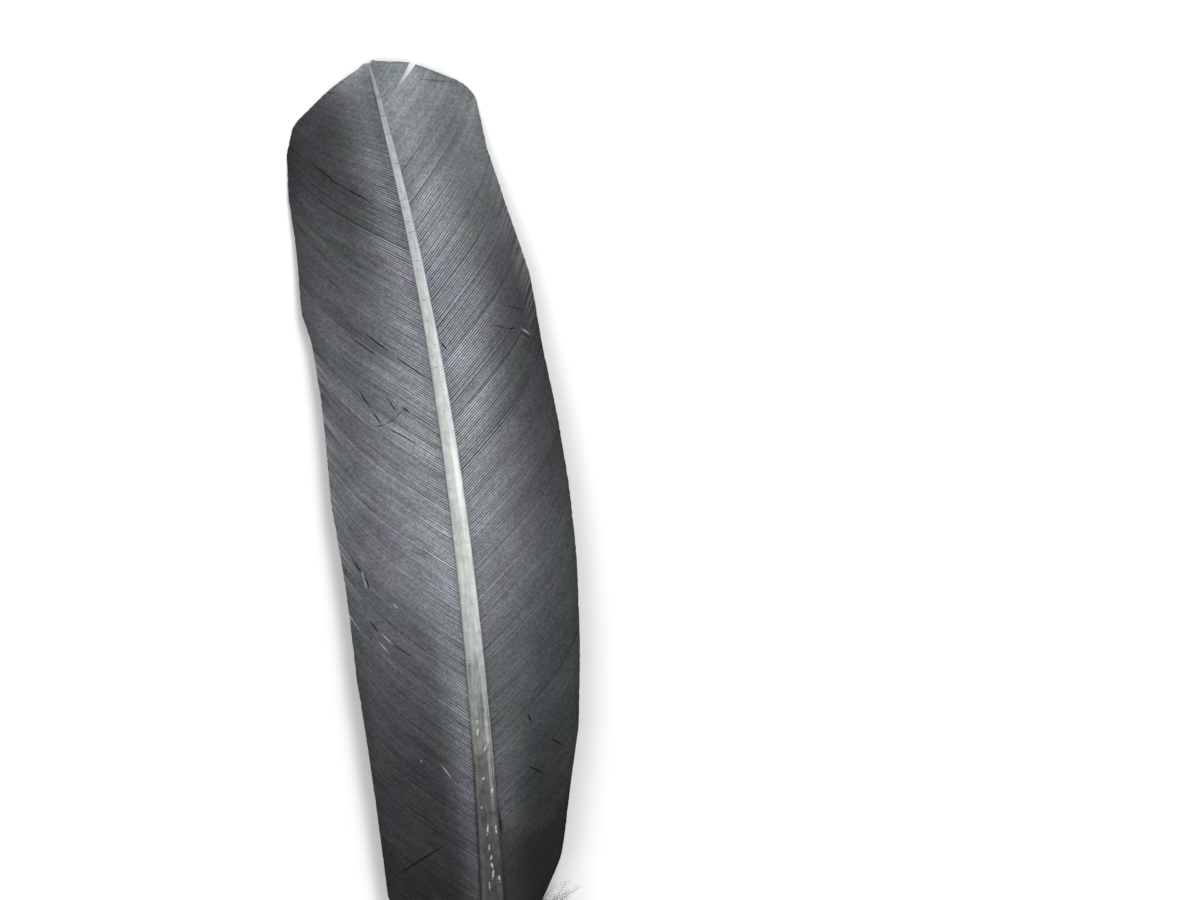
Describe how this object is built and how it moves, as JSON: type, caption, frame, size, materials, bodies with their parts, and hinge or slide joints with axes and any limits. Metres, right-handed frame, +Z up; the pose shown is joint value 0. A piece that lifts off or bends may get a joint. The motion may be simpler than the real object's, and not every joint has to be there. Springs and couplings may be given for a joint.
{
  "type": "goose quill feather",
  "caption": "Dark grey dyed goose wing feather lying flat: bowed pale shaft, broad barbed vane with small splits, soft down at its foot and a bare round quill.",
  "frame": {"origin": "on the surface it lies on, under the middle of the feather's box", "axes": "+Y toward the tip, +Z up from the vane's upper side, +X to the right vane"},
  "size_m": [0.0444, 0.212, 0.0105],
  "materials": {
    "vane": "dyed dark grey barbs with a soft sheen",
    "shaft": "pale grey horn with a satin gloss, grey-brown and clearer toward the quill",
    "down": "soft loose dyed down"
  },
  "bodies": {
    "root": {"quill_feather": "vane"}
  },
  "joints": []
}
